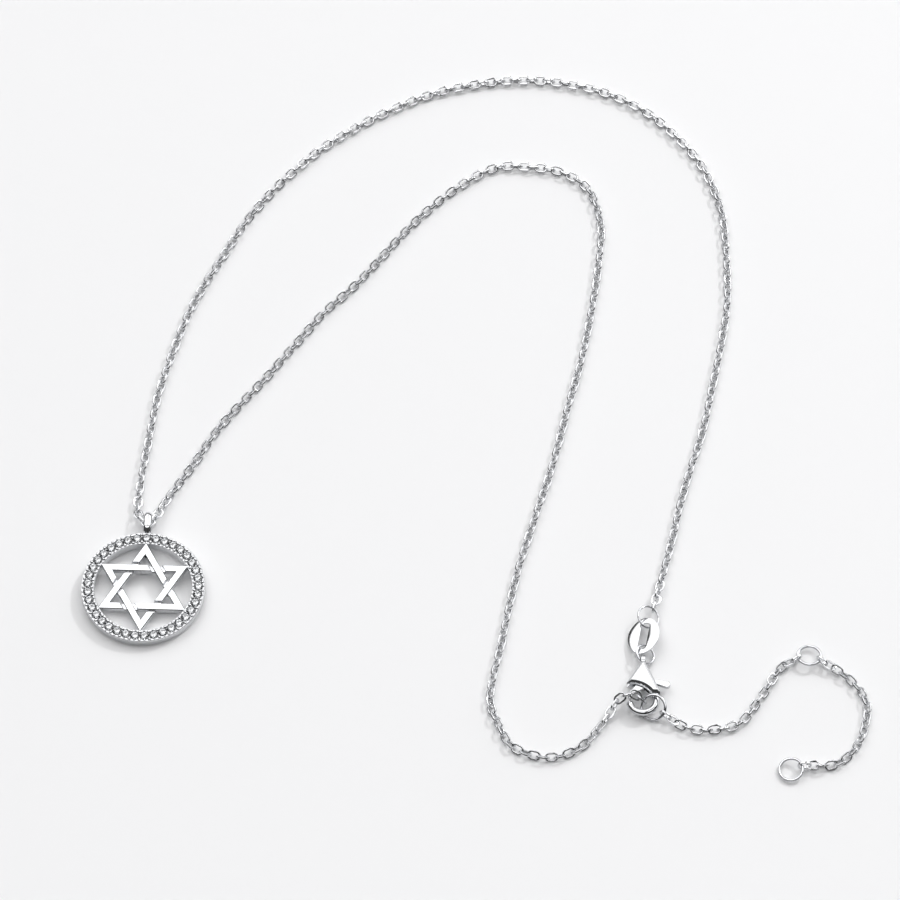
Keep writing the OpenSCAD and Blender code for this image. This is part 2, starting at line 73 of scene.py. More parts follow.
# The table
# A board painted matt white with a roller and wiped clean. It lies a hair below the jewel, so that the two
# never share a face.
def linear(code):
    """An sRGB colour such as #C0C0C0 as a linear RGBA colour."""
    parts = [int(code[i:i + 2], 16) / 255 for i in (1, 3, 5)]
    return [c / 12.92 if c <= 0.04045 else ((c + 0.055) / 1.055) ** 2.4 for c in parts] + [1.0]


def add_node(tree, kind, settings=(), links=()):
    """A node with its settings and links, each given by attribute, socket name or socket number."""
    node = tree.nodes.new(kind)
    for name, value in dict(settings).items():
        if isinstance(name, str) and hasattr(node, name):
            setattr(node, name, value)
        else:
            node.inputs[name].default_value = value
    for name, source in dict(links).items():
        tree.links.new(source, node.inputs[name])
    return node


def new_material(name):
    """A material with no nodes yet, and its node tree."""
    material = bpy.data.materials.new(name)
    material.use_nodes = True
    material.node_tree.nodes.clear()
    return material, material.node_tree


def finish_material(tree, surface):
    """Joins the surface shader to the output."""
    add_node(tree, "ShaderNodeOutputMaterial", {}, {"Surface": surface.outputs[0]})


# The paint scatters the light evenly. The roller's faint texture is all that it shows.
roller_grain, roller_height, roller_bump = 0.8 * mm, 0.01 * mm, 0.03
matt_paint, tree = new_material("matt_white_paint")
place = add_node(tree, "ShaderNodeTexCoord")
roller = add_node(tree, "ShaderNodeTexNoise", {"Scale": 1 / roller_grain, "Detail": 3},
                  {"Vector": place.outputs["Object"]})
ripple = add_node(tree, "ShaderNodeBump", {"Strength": roller_bump, "Distance": roller_height},
                  {"Height": roller.outputs["Fac"]})
paint = add_node(tree, "ShaderNodeBsdfPrincipled",
                 {"Base Color": linear("#EEEEEF"), "Roughness": 0.75, "Specular IOR Level": 0.2},
                 {"Normal": ripple.outputs["Normal"]})
finish_material(tree, paint)

table_half = 900 * mm
table_drop = 0.01 * mm
table_mesh = bpy.data.meshes.new("table")
corners = [(x * table_half, y * table_half, 0) for x, y in ((-1, -1), (1, -1), (1, 1), (-1, 1))]
table_mesh.from_pydata(corners, [], [(0, 1, 2, 3)])
table = bpy.data.objects.new("table", table_mesh)
table.location.z = -table_drop
table_mesh.materials.append(matt_paint)
scene.collection.objects.link(table)
table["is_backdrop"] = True


# The light
# A large round softbox hangs over the table, a little behind the jewel, so that flat faces shine white. Two
# dark seams part its panels, and a low window stands on the right. The room round them is dark, and bright
# metal shows it as black lines. A small lamp behind on the right throws the shadows.
def direction(turn, rise):
    """A direction turned from +X towards +Y and raised from the table, in degrees."""
    a, b = math.radians(turn), math.radians(rise)
    return Vector((math.cos(a) * math.cos(b), math.sin(a) * math.cos(b), math.sin(b)))


sky = bpy.data.worlds.new("softbox_in_a_dark_room")
scene.world = sky
sky.use_nodes = True
tree = sky.node_tree
tree.nodes.clear()
towards = add_node(tree, "ShaderNodeTexCoord")


def round_light(way, inner, outer, dim, bright):
    """A round light, bright within the inner angle from its middle and dim past the outer one, in degrees."""
    facing = add_node(tree, "ShaderNodeVectorMath", {"operation": "DOT_PRODUCT", 1: way},
                      {0: towards.outputs["Generated"]})
    patch = add_node(tree, "ShaderNodeMapRange",
                     {"From Min": math.cos(math.radians(outer)), "From Max": math.cos(math.radians(inner)),
                      "To Min": dim, "To Max": bright, "interpolation_type": "SMOOTHSTEP"},
                     {"Value": facing.outputs["Value"]})
    return patch.outputs[0]


seams = (("X", 0.21), ("Y", 0.02))
seam_half, seam_soft, seam_glow = 0.05, 0.08, 0.03
panels = round_light(direction(turn=90, rise=68), inner=46, outer=52, dim=0.07, bright=2.0)
sides = add_node(tree, "ShaderNodeSeparateXYZ", {}, {"Vector": towards.outputs["Generated"]})
for side, seam in seams:
    off = add_node(tree, "ShaderNodeMath", {"operation": "SUBTRACT", 1: seam}, {0: sides.outputs[side]})
    away = add_node(tree, "ShaderNodeMath", {"operation": "ABSOLUTE"}, {0: off.outputs[0]})
    lit = add_node(tree, "ShaderNodeMapRange",
                   {"From Min": seam_half, "From Max": seam_soft, "To Min": seam_glow, "To Max": 1.0,
                    "interpolation_type": "SMOOTHSTEP"}, {"Value": away.outputs[0]})
    parted = add_node(tree, "ShaderNodeMath", {"operation": "MULTIPLY"}, {0: panels, 1: lit.outputs[0]})
    panels = parted.outputs[0]
window = round_light(direction(turn=28, rise=6), inner=24, outer=30, dim=0.0, bright=1.3)
glow = add_node(tree, "ShaderNodeMath", {"operation": "MAXIMUM"}, {0: panels, 1: window})
room = add_node(tree, "ShaderNodeBackground", {"Color": linear("#FFFFFF")}, {"Strength": glow.outputs[0]})
add_node(tree, "ShaderNodeOutputWorld", {}, {"Surface": room.outputs[0]})

lamp_way = direction(turn=45, rise=39)
lamp_away = 900 * mm
lamp_data = bpy.data.lights.new("lamp", "AREA")
lamp_data.shape = "DISK"
lamp_data.size = 60 * mm
lamp_data.energy = 2.1
lamp = bpy.data.objects.new("lamp", lamp_data)
scene.collection.objects.link(lamp)
lamp.location = lamp_away * lamp_way
lamp.rotation_euler = lamp_way.to_track_quat("Z", "Y").to_euler()


# The pendant's frame
# Cast in sterling silver, filed, buffed and rhodium plated: a flat ring, a six-pointed star of woven bars
# flush with its face, and a closed bail. The setter raises two rows of beads from the ring, which hold the
# stones.
import bmesh

ring_r, ring_w, ring_t = 8.1, 1.7, 1.2
ring_in = ring_r - ring_w
bar_w, bar_t, star_bite = 0.95, 0.8, 0.25
dip_depth, dip_gap, dip_slope = 0.36, 0.4, 0.12
stone_d, stone_n, table_d, crown_h, pavilion_h = 1.08, 37, 0.62, 0.17, 0.45
bead_d, bead_gap = 0.48, 0.05
bail_ri, bail_wall, bail_straight, bail_w, bail_bite = 0.95, 0.34, 0.95, 0.85, 0.25
bail_ro = bail_ri + bail_wall
bail_near = ring_r - bail_bite + bail_ro
bail_far = bail_near + bail_straight
stone_circle = ring_r - ring_w / 2
half_step = stone_circle * math.sin(math.pi / stone_n)
bead_out = math.sqrt(((stone_d + bead_d) / 2 + bead_gap) ** 2 - half_step ** 2)


def turned(x=0, y=0, z=0):
    """A turn about X, then about Y, then about Z, in degrees."""
    return (Matrix.Rotation(math.radians(z), 3, "Z") @ Matrix.Rotation(math.radians(y), 3, "Y")
            @ Matrix.Rotation(math.radians(x), 3, "X"))


# The pendant rests on its ring's lower edge and on the bail's back, so its top stands a little higher. On the
# table it is turned a little clockwise.
pendant_lean = 1.8
rest_reach = math.hypot(ring_r + bail_near, ring_t / 2)
pendant_tilt = math.degrees(math.asin(bail_ro / rest_reach) - math.asin(ring_t / 2 / rest_reach))
pendant_turn = turned(x=pendant_tilt, z=-pendant_lean)
pendant_at = Vector((-43.3, -28.1, ring_r * math.sin(math.radians(pendant_tilt))))


class Shape:
    """Vertices and faces gathered for one mesh, in millimetres."""

    def __init__(self):
        self.points, self.faces, self.kinds = [], [], []

    def add(self, points, faces, kind=0):
        """Takes in faces. Their kind is the number of their finish in the piece's list."""
        first = len(self.points)
        self.points += [Vector(p) for p in points]
        self.faces += [[first + i for i in face] for face in faces]
        self.kinds += [kind] * len(faces)

    def skin(self, rows, closed_rows=True, capped=False, kind=0):
        """Quads between rows of points that have the same count. Each row runs round the section."""
        n, m = len(rows), len(rows[0])
        faces = []
        for i in range(n if closed_rows else n - 1):
            a, b = i * m, (i + 1) % n * m
            for j in range(m):
                faces.append([a + j, b + j, b + (j + 1) % m, a + (j + 1) % m])
        if capped:
            faces.append(list(range(m)))
            faces.append([(n - 1) * m + j for j in reversed(range(m))])
        self.add([p for row in rows for p in row], faces, kind)

    def made(self, name, materials, at=Vector((0, 0, 0)), turn=Matrix.Identity(3), sharp=40):
        """The mesh as an object in metres, smooth but for its sharp edges, with outward normals."""
        mesh = bpy.data.meshes.new(name)
        mesh.from_pydata([(turn @ p + at) * mm for p in self.points], [], self.faces)
        for face, kind in zip(mesh.polygons, self.kinds):
            face.material_index = kind
        build = bmesh.new()
        build.from_mesh(mesh)
        bmesh.ops.recalc_face_normals(build, faces=build.faces)
        for edge in build.edges:
            edge.smooth = len(edge.link_faces) == 2 and edge.calc_face_angle(0) < math.radians(sharp)
        for face in build.faces:
            face.smooth = True
        build.to_mesh(mesh)
        build.free()
        for material in materials:
            mesh.materials.append(material)
        piece = bpy.data.objects.new(name, mesh)
        scene.collection.objects.link(piece)
        return piece


def applied(piece):
    """The mesh that a piece's modifiers make of it. The piece itself goes."""
    bpy.context.view_layer.update()
    mesh = bpy.data.meshes.new_from_object(piece.evaluated_get(bpy.context.evaluated_depsgraph_get()))
    bpy.data.objects.remove(piece)
    return mesh


def silver(name, colour, grain_mm, bump, rough_low, rough_high):
    """Rhodium plate over sterling silver, a little greyer than bare silver and as smooth as the metal below.
    The polish leaves a grain: it varies the roughness, and its height is a few micrometres. Broad patches of
    thinner plate are a shade darker."""
    patch_mm, patch_shade, grain_height = 1.5, 0.05, 0.004 * mm
    noise_low, noise_high = 0.3, 0.7
    material, tree = new_material(name)
    place = add_node(tree, "ShaderNodeTexCoord")
    grain = add_node(tree, "ShaderNodeTexNoise",
                     {"Scale": 1 / (grain_mm * mm), "Detail": 4, "Roughness": 0.6},
                     {"Vector": place.outputs["Object"]})
    patch = add_node(tree, "ShaderNodeTexNoise", {"Scale": 1 / (patch_mm * mm), "Detail": 2},
                     {"Vector": place.outputs["Object"]})
    shade = add_node(tree, "ShaderNodeMapRange",
                     {"From Min": noise_low, "From Max": noise_high, "To Min": 0, "To Max": 1},
                     {"Value": patch.outputs["Fac"]})
    thin_plate = [c * (1 - patch_shade) for c in linear(colour)[:3]] + [1]
    colour_mix = add_node(tree, "ShaderNodeMix", {"data_type": "RGBA", 6: thin_plate, 7: linear(colour)},
                          {"Factor": shade.outputs[0]})
    gloss = add_node(tree, "ShaderNodeMapRange",
                     {"From Min": noise_low, "From Max": noise_high,
                      "To Min": rough_low, "To Max": rough_high},
                     {"Value": grain.outputs["Fac"]})
    height = add_node(tree, "ShaderNodeBump", {"Strength": bump, "Distance": grain_height},
                      {"Height": grain.outputs["Fac"]})
    metal = add_node(tree, "ShaderNodeBsdfPrincipled", {"Metallic": 1.0},
                     {"Base Color": colour_mix.outputs[2], "Roughness": gloss.outputs[0],
                      "Normal": height.outputs["Normal"]})
    finish_material(tree, metal)
    return material


# Buffed on a wheel: a bright mirror with soft, fine wipe marks
buffed_cast = silver("rhodium_plated_silver_buffed", "#E0E1E3", 0.25, 0.10, 0.06, 0.14)
# Cut bright with a graver between the stones: small facets that glint greyer than the buffed walls
bright_cut = silver("rhodium_plated_silver_bright_cut", "#C6C7C9", 0.08, 0.35, 0.12, 0.26)
# Left as drilled inside the seats: dull and rough, and painted darker as shade under the stones, so that a
# painted dark shade rings each stone
seat_painted_shade = silver("silver_seat_painted_shade", "#9FA0A3", 0.1, 0.3, 0.3, 0.45)
cast_finishes = [buffed_cast, bright_cut, seat_painted_shade]
bright_kind, shaded_seat_kind = 1, 2


def rounded(corners, radius, steps=3):
    """A closed outline with rounded corners. A corner's third value is its own radius, where it has one."""
    out = []
    n = len(corners)
    for i, corner in enumerate(corners):
        p = Vector(corner[:2])
        r = corner[2] if len(corner) > 2 else radius
        a, b = Vector(corners[i - 1][:2]) - p, Vector(corners[(i + 1) % n][:2]) - p
        half = a.angle(b) / 2
        reach = min(r / math.tan(half), 0.45 * a.length, 0.45 * b.length)
        start, end = p + reach * a.normalized(), p + reach * b.normalized()
        for k in range(steps + 1):
            t = k / steps
            out.append((1 - t) ** 2 * start + 2 * t * (1 - t) * p + t * t * end)
    return out


def lathe(profile, count):
    """Rows of a profile of radius and height turned about Z."""
    rows = []
    for k in range(count):
        a = math.radians(360 * k / count)
        rows.append([Vector((r * math.cos(a), r * math.sin(a), z)) for r, z in profile])
    return rows


def circle_points(radius, height, count, first=0.0):
    """Points evenly round a circle about Z. The first angle is in radians."""
    angles = [first + 2 * math.pi * k / count for k in range(count)]
    return [Vector((radius * math.cos(a), radius * math.sin(a), height)) for a in angles]


# The ring: its outer and inner walls are buffed to soft edges, and its face is cut for the stones
inner_edge, outer_foot, outer_edge = 0.07, 0.12, 0.1
ring_steps = stone_n * 8
ring_outline = rounded([(ring_in, 0), (ring_r, 0, outer_foot), (ring_r, ring_t, outer_edge),
                        (ring_in, ring_t)], inner_edge)
ring_shape = Shape()
ring_shape.skin(lathe(ring_outline, ring_steps))
ring_piece = ring_shape.made("ring_uncut", cast_finishes)

# Each seat is drilled with a cone, and its mouth is opened a little past the face. Its profile holds radius
# and height.
seat_play, seat_sides = 0.02, 24
seat_r = stone_d / 2 + seat_play
seat_profile = ((0.1, -0.5), (seat_r, -0.14), (seat_r + 0.07, 0.0), (seat_r + 0.09, 0.03))
# The seats' faces take the seat finish: rough metal with painted shade under the stones
seats = Shape()
for k in range(stone_n):
    a = math.radians(90 + k * 360 / stone_n)
    middle = Vector((stone_circle * math.cos(a), stone_circle * math.sin(a), ring_t))
    rows = [[middle + p for p in circle_points(r, z, seat_sides)] for r, z in seat_profile]
    seats.skin(rows, closed_rows=False, capped=True, kind=shaded_seat_kind)
seat_cutter = seats.made("seat_cutter", cast_finishes)
cut = ring_piece.modifiers.new("seats", "BOOLEAN")
cut.operation = "DIFFERENCE"
cut.solver = "EXACT"
cut.use_self = True
cut.object = seat_cutter
cut_mesh = applied(ring_piece)
bpy.data.objects.remove(seat_cutter)

# Whatever lies in the ring's face, within a hair, is cut bright. The rest keeps its finish.
hair = 0.02
face_z = (ring_t - hair) * mm
cast = Shape()
cast.add([v.co / mm for v in cut_mesh.vertices], [list(p.vertices) for p in cut_mesh.polygons])
cast.kinds = [bright_kind if p.center.z > face_z else p.material_index for p in cut_mesh.polygons]

# The beads: two domes between each two stones, pushed over their edges, and two finer ones beside each stone
fine_bead_d, fine_bead_out = 0.24, 0.7
bead_foot, bead_arc, bead_steps, bead_sides = -10, 96, 6, 16
for k in range(2 * stone_n):
    a = math.radians(90 + (k + 1) * 180 / stone_n)
    fine = k % 2
    dome = (fine_bead_d if fine else bead_d) / 2
    for side in (-1, 1):
        r = stone_circle + side * (fine_bead_out if fine else bead_out)
        middle = Vector((r * math.cos(a), r * math.sin(a), ring_t - (0.0 if fine else bead_gap)))
        rows = []
        for i in range(bead_steps + 1):
            b = math.radians(bead_foot + bead_arc * i / bead_steps)
            circle = circle_points(dome * math.cos(b), dome * math.sin(b), bead_sides)
            rows.append([middle + p for p in circle])
        cast.skin(rows, closed_rows=False, capped=True)

# The star: six bars mitred at its points, each dipping at one crossing to pass under the next
bars_n, mitre = 6, math.radians(30)
bar_edge, bar_proud = 0.09, 0.004
star_r = ring_in + star_bite
bar_y = star_r / 2 - bar_w / 2
cross_x = bar_y * math.tan(mitre)
dip_run = bar_w / 2 + dip_gap
bar_section = ((1, "low"), (1, "high"), (1, "top"), (-1, "top"), (-1, "high"), (-1, "low"))


def bar_row(u, lean, dip=0.0):
    """A section of a bar. At an end it is cut on the mitre, and in the dip it runs along the bar above."""
    top = ring_t + bar_proud - dip
    heights = {"low": ring_t - bar_t, "high": top - bar_edge, "top": top}
    row = []
    for side, level in bar_section:
        y = bar_y + side * (bar_w / 2 - (bar_edge if level == "top" else 0.0))
        if lean:
            x = lean * y / math.tan(mitre)
        else:
            x = cross_x + (u - (y - bar_y) / 2) / math.cos(mitre)
        row.append(Vector((x, y, heights[level])))
    return row


# Marks down one side of a dip: how far from the crossing, and how deep. Two on the flat keep the face even.
dip_marks = [(dip_run + 0.12, 0.0), (dip_run + 0.05, 0.0), (dip_run, 0.02), (dip_run - 0.03, 0.07),
             (dip_run - dip_slope + 0.02, dip_depth - 0.04), (dip_run - dip_slope - 0.04, dip_depth),
             (dip_run - dip_slope - 0.1, dip_depth)]
star_bar = ([bar_row(0, -1)] + [bar_row(-u, 0, dip) for u, dip in dip_marks]
            + [bar_row(u, 0, dip) for u, dip in reversed(dip_marks)] + [bar_row(0, 1)])
for k in range(bars_n):
    turn = turned(z=k * 360 / bars_n)
    cast.skin([[turn @ p for p in row] for row in star_bar], closed_rows=False, capped=True)

# The bail: a domed band bent into a long loop and soldered to the ring
band_dome_r, band_steps, band_chamfer, bend_steps = 0.76, 8, 0.03, 24
band = []
for k in range(band_steps + 1):
    w = bail_w * (k / band_steps - 0.5)
    dome = math.sqrt(band_dome_r ** 2 - w ** 2) - band_dome_r
    band.append((w, bail_ro + dome))
band += [(bail_w / 2 - band_chamfer, bail_ri), (-bail_w / 2 + band_chamfer, bail_ri)]
rows = []
for centre, start in ((bail_far, -90), (bail_near, 90)):
    for i in range(bend_steps + 1):
        a = math.radians(start + 180 * i / bend_steps)
        rows.append([Vector((w, centre + r * math.cos(a), ring_t / 2 + r * math.sin(a))) for w, r in band])
cast.skin(rows)

pendant = cast.made("pendant_frame_cast", cast_finishes, pendant_at, pendant_turn, sharp=32)
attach(pendant, "necklace")
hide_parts("pendant_frame")


# The stones
# Round brilliants of cubic zirconia, cut and polished, in one row. Above the girdle each has a table, eight
# stars, eight kites and sixteen halves, and below it eight mains and sixteen halves. Each is set a few
# degrees off true.

# Polished zirconia is clear, very bright and hard-edged, and shows a mix of black and white facets
zirconia, tree = new_material("cubic_zirconia_polished")
gem = add_node(tree, "ShaderNodeBsdfPrincipled",
               {"Base Color": linear("#E9EBEE"), "Roughness": 0.0, "IOR": 2.15, "Transmission Weight": 1.0})
finish_material(tree, gem)

crown_r, table_r, kite_r, lower_r, girdle_h = stone_d / 2, table_d / 2, 0.43, 0.13, 0.02
eighth = math.pi / 8
kite_h = crown_h * (crown_r - kite_r * math.cos(eighth)) / (crown_r - table_r)
lower_h = -pavilion_h * (1 - lower_r * math.cos(eighth) / crown_r)
stone_points = (circle_points(table_r, crown_h, 8) + circle_points(kite_r, kite_h, 8, eighth)
                + circle_points(crown_r, 0, 16) + circle_points(crown_r, -girdle_h, 16)
                + circle_points(lower_r, lower_h, 8, eighth) + [Vector((0, 0, -pavilion_h))])

# The number of the first point of each circle, from the kites down
kites, upper, lower, mains, culet = 8, 16, 32, 48, 56
stone_faces = [list(range(8))]
for k in range(8):
    after, before = (k + 1) % 8, (k - 1) % 8
    g0, g1, g2 = 2 * k, 2 * k + 1, (2 * k + 2) % 16
    stone_faces += [[k, after, kites + k], [k, kites + k, upper + g0, kites + before]]
    stone_faces += [[kites + k, upper + g1, upper + g0], [kites + k, upper + g2, upper + g1]]
    stone_faces += [[mains + k, lower + g0, lower + g1], [mains + k, lower + g1, lower + g2]]
    stone_faces += [[lower + g0, mains + k, culet, mains + before]]
    stone_faces += [[upper + g0, upper + g1, lower + g1, lower + g0]]
    stone_faces += [[upper + g1, upper + g2, lower + g2, lower + g1]]

off_true, off_step_x, off_step_y, spin_step = 4, 97, 151, 17
stones = Shape()
for k in range(stone_n):
    turn = turned(z=90 + k * 360 / stone_n)
    own = turned(x=off_true * math.sin(math.radians(off_step_x * k)),
                 y=off_true * math.cos(math.radians(off_step_y * k)), z=spin_step * k)
    middle = Vector((stone_circle, 0, ring_t))
    stones.add([turn @ (middle + own @ p) for p in stone_points], stone_faces)
stone_row = stones.made("pave_stones_cut", [zirconia], pendant_at, pendant_turn, sharp=1)
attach(stone_row, "necklace")
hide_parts("pave_stones")


# The clasp
# A lobster clasp cast in sterling silver. Its lever turns on a pin through the hollow body, over a hidden
# spring. Both are tumbled in steel shot, which rounds their edges, and plated.

# Tumbling leaves bright faces with a fine dimpled grain
tumbled_cast = silver("rhodium_plated_silver_tumbled", "#CCCDCF", 0.3, 0.15, 0.07, 0.16)

# A fine net is laid over each casting and smoothed in a few turns, which rounds edges as the shot does
tumbled_net, tumbled_share, tumbled_turns = 0.045, 0.5, 7
clasp_at = Vector((21.65, -45, 1.1))
clasp_lean = -1.6
clasp_turn = turned(z=clasp_lean)


def on_clasp(x, y, z=0.0):
    """A point by its place on the clasp, whose hook is in the middle."""
    return clasp_turn @ Vector((x, y, z)) + clasp_at


for node_name, body in (("clasp_body", "necklace"), ("clasp_lever", "lever")):
    rough = bpy.data.objects.new("rough_casting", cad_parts[node_name].data.copy())
    scene.collection.objects.link(rough)
    fine_net = rough.modifiers.new("fine_net", "REMESH")
    fine_net.mode = "VOXEL"
    fine_net.voxel_size = tumbled_net * mm
    tumbling = rough.modifiers.new("tumbling", "SMOOTH")
    tumbling.factor = tumbled_share
    tumbling.iterations = tumbled_turns
    tumbled_mesh = applied(rough)
    tumbled_mesh.materials.clear()
    tumbled_mesh.materials.append(tumbled_cast)
    for face in tumbled_mesh.polygons:
        face.use_smooth = True
    tumbled = bpy.data.objects.new(node_name + "_tumbled", tumbled_mesh)
    scene.collection.objects.link(tumbled)
    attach(tumbled, body)
    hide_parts(node_name)


# The jump rings
# Rounds of sterling silver wire, wound on a rod, cut through, closed with pliers and plated. The cut shows as
# a fine line across the wire.

# Drawn wire comes smooth from the die: a mirror with hardly any grain
drawn_wire = silver("rhodium_plated_silver_drawn_wire", "#D8D9DC", 0.2, 0.12, 0.06, 0.14)
closing_ring_d, clasp_ring_d, tag_ring_d, ext_ring_d = 3.6, 2.9, 3.3, 3.4
ext_wire, small_wire = 0.4, 0.32
cut_width, round_steps, wire_sides = 0.03, 72, 16


def wire_reach(outer_d, wire):
    """From a ring's middle to the middle of its wire."""
    return (outer_d - wire) / 2


def jump_ring(name, node, outer_d, wire, at, turn, cut_at):
    """A round of wire with a hair's breadth left open at the cut, whose place is in degrees."""
    shape = Shape()
    radius = wire_reach(outer_d, wire)
    open_deg = math.degrees(cut_width / radius)
    up = Vector((0, 0, 1))
    section = circle_points(wire / 2, 0, wire_sides)
    rows = []
    for k in range(round_steps + 1):
        a = math.radians(cut_at + open_deg / 2 + (360 - open_deg) * k / round_steps)
        out = Vector((math.cos(a), math.sin(a), 0))
        rows.append([radius * out + p.x * out + p.y * up for p in section])
    shape.skin(rows, closed_rows=False, capped=True)
    ring = shape.made(name, [drawn_wire], at, turn)
    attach(ring, "necklace")
    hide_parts(node)


def on_ring(at, turn, radius, degrees):
    """A point in the middle of a ring's wire, some degrees round it."""
    a = math.radians(degrees)
    return turn @ Vector((radius * math.cos(a), radius * math.sin(a), 0)) + at


# The hook holds the closing ring, which is tilted until one side nearly touches the table
closing_out = Vector((1.36, -0.95))
closing_turn = clasp_turn @ turned(x=33, z=math.degrees(math.atan2(closing_out.y, closing_out.x)))
closing_at = on_clasp(closing_out.x, closing_out.y)
closing_m = wire_reach(closing_ring_d, ext_wire)
jump_ring("closing_ring_wire", "closing_ring", closing_ring_d, ext_wire, closing_at, closing_turn,
          cut_at=-75)

# The clasp's eye holds the clasp ring, which goes through the bottom of the tag's slot
apex_y, eye_hole_r, eye_sill, eye_drop = 5.3, 0.48, 0.08, 0.12
eye_y = apex_y + eye_hole_r + eye_sill
clasp_ring_low, clasp_ring_high = 255, 112
clasp_ring_turn = turned(x=1, y=28)
clasp_ring_m = wire_reach(clasp_ring_d, small_wire)
clasp_ring_at = (on_clasp(0, eye_y - eye_drop)
                 - on_ring(Vector(), clasp_ring_turn, clasp_ring_m, clasp_ring_low))
jump_ring("clasp_ring_wire", "clasp_ring", clasp_ring_d, small_wire, clasp_ring_at, clasp_ring_turn,
          cut_at=30)

# The tag hangs on it, and the tag ring goes through the top of the slot
slot_l, slot_play = 4.0, 0.4
slot_reach = Vector((0, slot_l / 2 - small_wire / 2 - slot_play, 0))
tag_turn = turned(z=-11) @ turned(x=-2) @ turned(y=-20)
tag_at = on_ring(clasp_ring_at, clasp_ring_turn, clasp_ring_m, clasp_ring_high) + tag_turn @ slot_reach
tag_ring_low, tag_ring_high = -103, 64
tag_ring_turn = turned(x=9, y=26)
tag_ring_m = wire_reach(tag_ring_d, small_wire)
tag_ring_at = tag_at + tag_turn @ slot_reach - on_ring(Vector(), tag_ring_turn, tag_ring_m, tag_ring_low)
jump_ring("tag_ring_wire", "tag_ring", tag_ring_d, small_wire, tag_ring_at, tag_ring_turn, cut_at=160)

# The extender's two rings lie nearly flat, and the links that hold them keep them a little off the table
ext_ring_m = wire_reach(ext_ring_d, ext_wire)
mid_at, mid_turn = Vector((43.4, -38.1, 0.78)), turned(x=-8)
end_at, end_turn = Vector((40.4, -54.8, 0.58)), turned(y=-9) @ turned(x=6)
jump_ring("extender_mid_ring_wire", "extender_mid_ring", ext_ring_d, ext_wire, mid_at, mid_turn, cut_at=80)
jump_ring("extender_end_ring_wire", "extender_end_ring", ext_ring_d, ext_wire, end_at, end_turn, cut_at=200)


# The tag
# A flat oval punched from sterling silver sheet, with a long slot for its two rings. It is tumbled until its
# rims are round, and plated. Both faces are blank.

# Stamped sheet is flat and bright, with the broad faint grain of the rolls
stamped_sheet = silver("rhodium_plated_silver_stamped", "#D6D7D9", 0.4, 0.08, 0.08, 0.18)
tag_w, tag_l, tag_t, slot_w = 4.3, 5.6, 0.26, 1.1

# The oval's outline is four arcs: two round ends of the first radius and two flatter sides of the second
oval_r1 = 1.5
oval_a = tag_l / 2 - oval_r1
oval_b = (oval_a ** 2 - (tag_w / 2 - oval_r1) ** 2) / (2 * (tag_w / 2 - oval_r1))
oval_r2 = oval_b + tag_w / 2


def reach_to(way, middle, radius):
    """Where a line from the origin leaves a circle."""
    along = way.dot(middle)
    return way * (along + math.sqrt(radius ** 2 - middle.length_squared + along ** 2))


def oval_point(way, inset):
    """Where a line from the middle meets the oval's flatter side or its round end."""
    p = reach_to(way, Vector((-math.copysign(oval_b, way.x), 0)), oval_r2 - inset)
    if abs(p.y) > oval_a + (oval_r1 - inset) * oval_a / math.hypot(oval_a, oval_b):
        p = reach_to(way, Vector((0, math.copysign(oval_a, way.y))), oval_r1 - inset)
    return p


def slot_point(way, inset):
    """Where a line from the middle meets the slot."""
    r, end = slot_w / 2 + inset, slot_l / 2 - slot_w / 2
    side = r / max(abs(way.x), 1e-9)
    if side * abs(way.y) <= end:
        return way * side
    return reach_to(way, Vector((0, math.copysign(end, way.y))), r)


# Round the sheet's section: the outline that a point lies on, how far inside its edge, and the height
tag_steps, rim = 128, 0.06
bevel, top = rim * 0.3, tag_t / 2
tag_section = ((oval_point, rim, top), (oval_point, bevel, top - bevel), (oval_point, 0, top - rim),
               (oval_point, 0, rim - top), (oval_point, bevel, bevel - top), (oval_point, rim, -top),
               (slot_point, rim, -top), (slot_point, bevel, bevel - top), (slot_point, 0, rim - top),
               (slot_point, 0, top - rim), (slot_point, bevel, top - bevel), (slot_point, rim, top))
rows = []
for k in range(tag_steps):
    a = math.radians(360 * (k + 0.5) / tag_steps)
    way = Vector((math.cos(a), math.sin(a)))
    rows.append([outline(way, inset).to_3d() + Vector((0, 0, z)) for outline, inset, z in tag_section])
tag_shape = Shape()
tag_shape.skin(rows)
tag = tag_shape.made("quality_tag_stamped", [stamped_sheet], tag_at, tag_turn)
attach(tag, "necklace")
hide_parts("quality_tag")


# The chain
# Cable chain of sterling silver, woven by machine from wire that is pressed a little square. Each link is
# closed, soldered and turned a quarter from the last, and the whole is tumbled and plated.

# Plate over tumbled wire makes each link a small bright mirror, which flashes white and black
chain_wire = silver("rhodium_plated_silver_chain", "#E0E1E3", 0.15, 0.10, 0.05, 0.12)
link_l, link_w, wire_d, link_pitch, link_gap = 1.84, 1.32, 0.26, 1.16, 0.14
chain_z = link_w / 2

# Where the chain bends sharply, in the bail and over the hook, its links crowd closer
bail_crowd, hook_crowd = 0.24, 0.08
bail_step, hook_step = link_pitch - bail_crowd, link_pitch - hook_crowd

